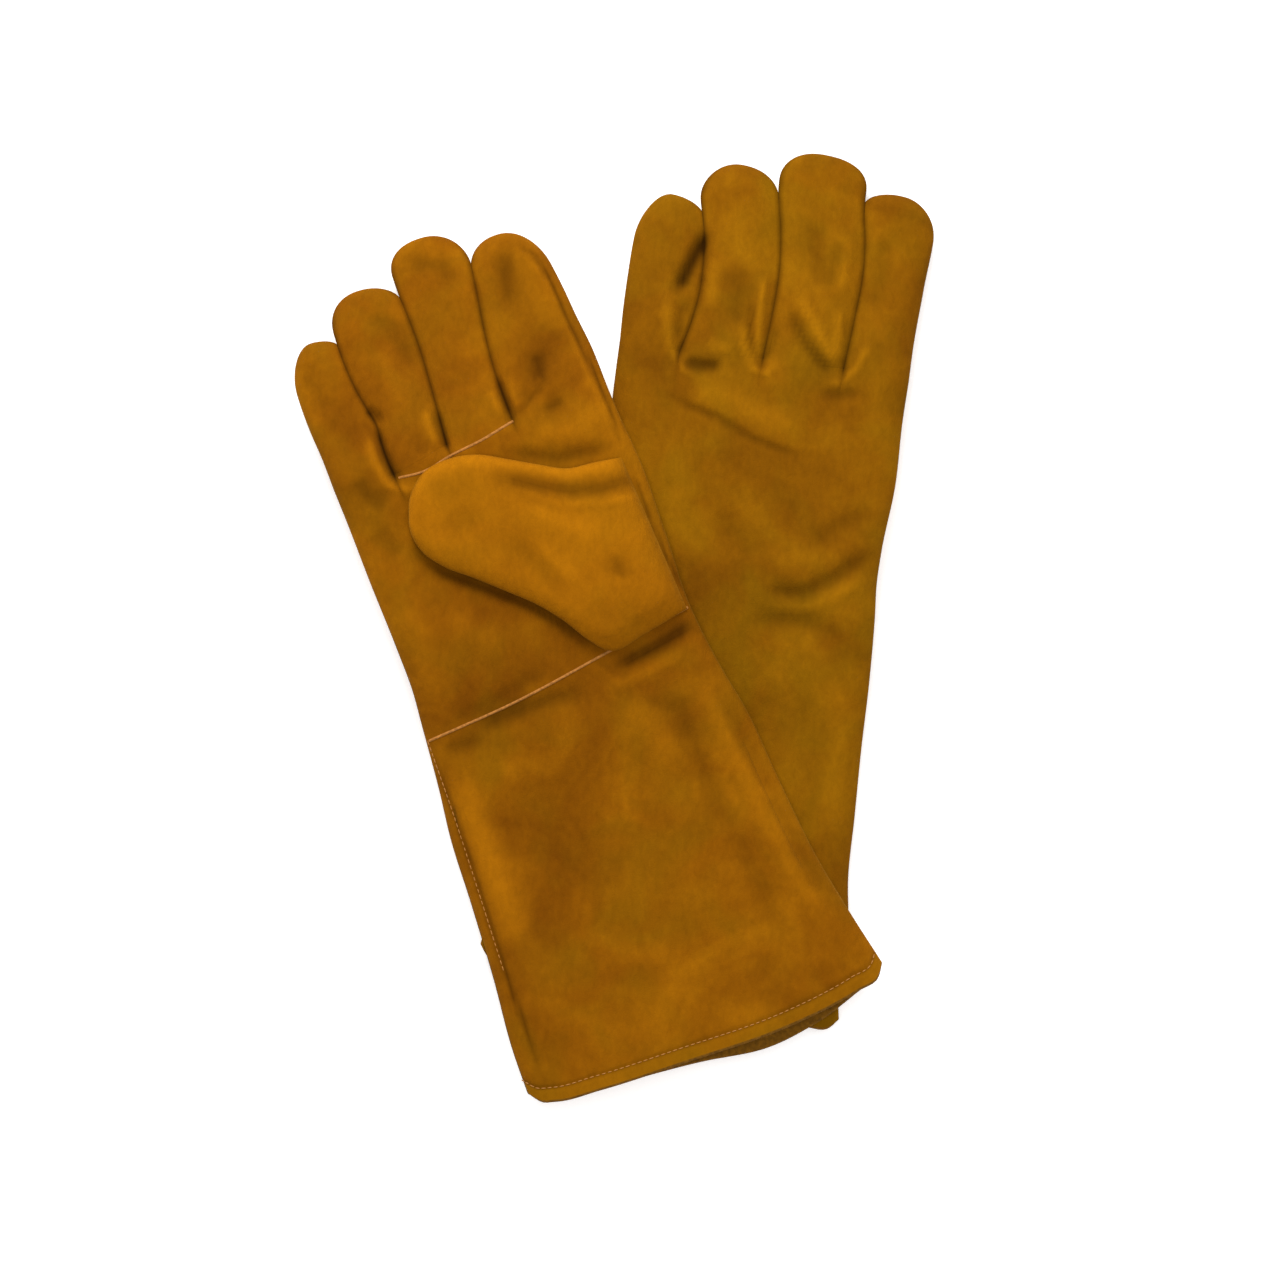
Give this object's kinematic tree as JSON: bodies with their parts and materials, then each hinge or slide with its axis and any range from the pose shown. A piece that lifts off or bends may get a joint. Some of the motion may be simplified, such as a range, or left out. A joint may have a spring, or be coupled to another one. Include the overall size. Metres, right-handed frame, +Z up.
{
  "type": "welding gloves",
  "caption": "Leather gauntlet welding gloves lying crossed, palm up over back up, with lined hands and cuffs, welted seams, bending fingers and folded wing thumbs.",
  "frame": {"origin": "middle of the pair's box, on the surface it lies on", "axes": "+Y towards the fingertips, +X to the right seen from above, +Z up"},
  "size_m": [0.3072, 0.4588, 0.0496],
  "materials": {
    "suede_leather": "napped split leather, matt",
    "welt_leather": "smooth cut welt leather, matt",
    "hem_leather": "rough flesh side of the split",
    "fleece_lining": "brushed cotton fleece",
    "canvas_lining": "plain weave cotton canvas",
    "thread": "waxed aramid sewing thread"
  },
  "bodies": {
    "left_hand": {"left_back": "suede_leather", "left_palm": "suede_leather", "left_cuff_front": "suede_leather", "left_wrist_welt": "welt_leather", "left_finger_welt": "welt_leather", "left_hem": "hem_leather", "left_cuff_lining": "canvas_lining", "left_hand_lining": "fleece_lining", "left_thumb_outer": "suede_leather", "left_thumb_inner": "suede_leather", "left_thumb_lining": "fleece_lining"},
    "right_hand": {"right_back": "suede_leather", "right_palm": "suede_leather", "right_cuff_front": "suede_leather", "right_wrist_welt": "welt_leather", "right_finger_welt": "welt_leather", "right_hem": "hem_leather", "right_cuff_lining": "canvas_lining", "right_hand_lining": "fleece_lining"},
    "right_thumb": {"right_thumb_outer": "suede_leather", "right_thumb_inner": "suede_leather", "right_thumb_lining": "fleece_lining"},
    "left_pinky": {"left_pinky_back": "suede_leather", "left_pinky_front": "suede_leather", "left_pinky_side_wall": "suede_leather", "left_pinky_lining": "fleece_lining"},
    "left_ring": {"left_ring_back": "suede_leather", "left_ring_front": "suede_leather", "left_ring_side_wall": "suede_leather", "left_ring_lining": "fleece_lining"},
    "left_middle": {"left_middle_back": "suede_leather", "left_middle_front": "suede_leather", "left_middle_side_wall": "suede_leather", "left_middle_lining": "fleece_lining"},
    "left_index": {"left_index_back": "suede_leather", "left_index_front": "suede_leather", "left_index_side_wall": "suede_leather", "left_index_lining": "fleece_lining"},
    "right_pinky": {"right_pinky_back": "suede_leather", "right_pinky_front": "suede_leather", "right_pinky_side_wall": "suede_leather", "right_pinky_lining": "fleece_lining"},
    "right_ring": {"right_ring_back": "suede_leather", "right_ring_front": "suede_leather", "right_ring_side_wall": "suede_leather", "right_ring_lining": "fleece_lining"},
    "right_middle": {"right_middle_back": "suede_leather", "right_middle_front": "suede_leather", "right_middle_side_wall": "suede_leather", "right_middle_lining": "fleece_lining"},
    "right_index": {"right_index_back": "suede_leather", "right_index_front": "suede_leather", "right_index_side_wall": "suede_leather", "right_index_lining": "fleece_lining"}
  },
  "joints": [
    {"name": "left_pinky_bend", "type": "hinge", "parent": "left_hand", "child": "left_pinky", "pos_m": [0.01886, 0.14488, 0.0248], "axis": [0.9785, -0.2062, 0], "range_deg": [0, 60]},
    {"name": "left_ring_bend", "type": "hinge", "parent": "left_hand", "child": "left_ring", "pos_m": [0.05164, 0.13798, 0.0248], "axis": [0.9785, -0.2062, 0], "range_deg": [0, 60]},
    {"name": "left_middle_bend", "type": "hinge", "parent": "left_hand", "child": "left_middle", "pos_m": [0.09029, 0.12983, 0.0248], "axis": [0.9785, -0.2062, 0], "range_deg": [0, 60]},
    {"name": "left_index_bend", "type": "hinge", "parent": "left_hand", "child": "left_index", "pos_m": [0.12551, 0.12241, 0.0248], "axis": [0.9785, -0.2062, 0], "range_deg": [0, 60]},
    {"name": "right_pinky_bend", "type": "hinge", "parent": "right_hand", "child": "right_pinky", "pos_m": [-0.12016, 0.07322, 0.0392], "axis": [0.9583, 0.2857, 0], "range_deg": [0, 90]},
    {"name": "right_ring_bend", "type": "hinge", "parent": "right_hand", "child": "right_ring", "pos_m": [-0.09404, 0.08101, 0.0392], "axis": [0.9583, 0.2857, 0], "range_deg": [0, 90]},
    {"name": "right_middle_bend", "type": "hinge", "parent": "right_hand", "child": "right_middle", "pos_m": [-0.06385, 0.09001, 0.0392], "axis": [0.9583, 0.2857, 0], "range_deg": [0, 90]},
    {"name": "right_index_bend", "type": "hinge", "parent": "right_hand", "child": "right_index", "pos_m": [-0.0248, 0.10165, 0.0392], "axis": [0.9583, 0.2857, 0], "range_deg": [0, 90]},
    {"name": "right_thumb_fold", "type": "hinge", "parent": "right_hand", "child": "right_thumb", "pos_m": [0.02174, 0.04874, 0.0392], "axis": [-0.3665, 0.9304, 0], "range_deg": [0, 120]},
    {"name": "right_glove_lift", "type": "slide", "parent": "left_hand", "child": "right_hand", "axis": [0, 0, 1], "range_m": [0, 0.15]}
  ]
}
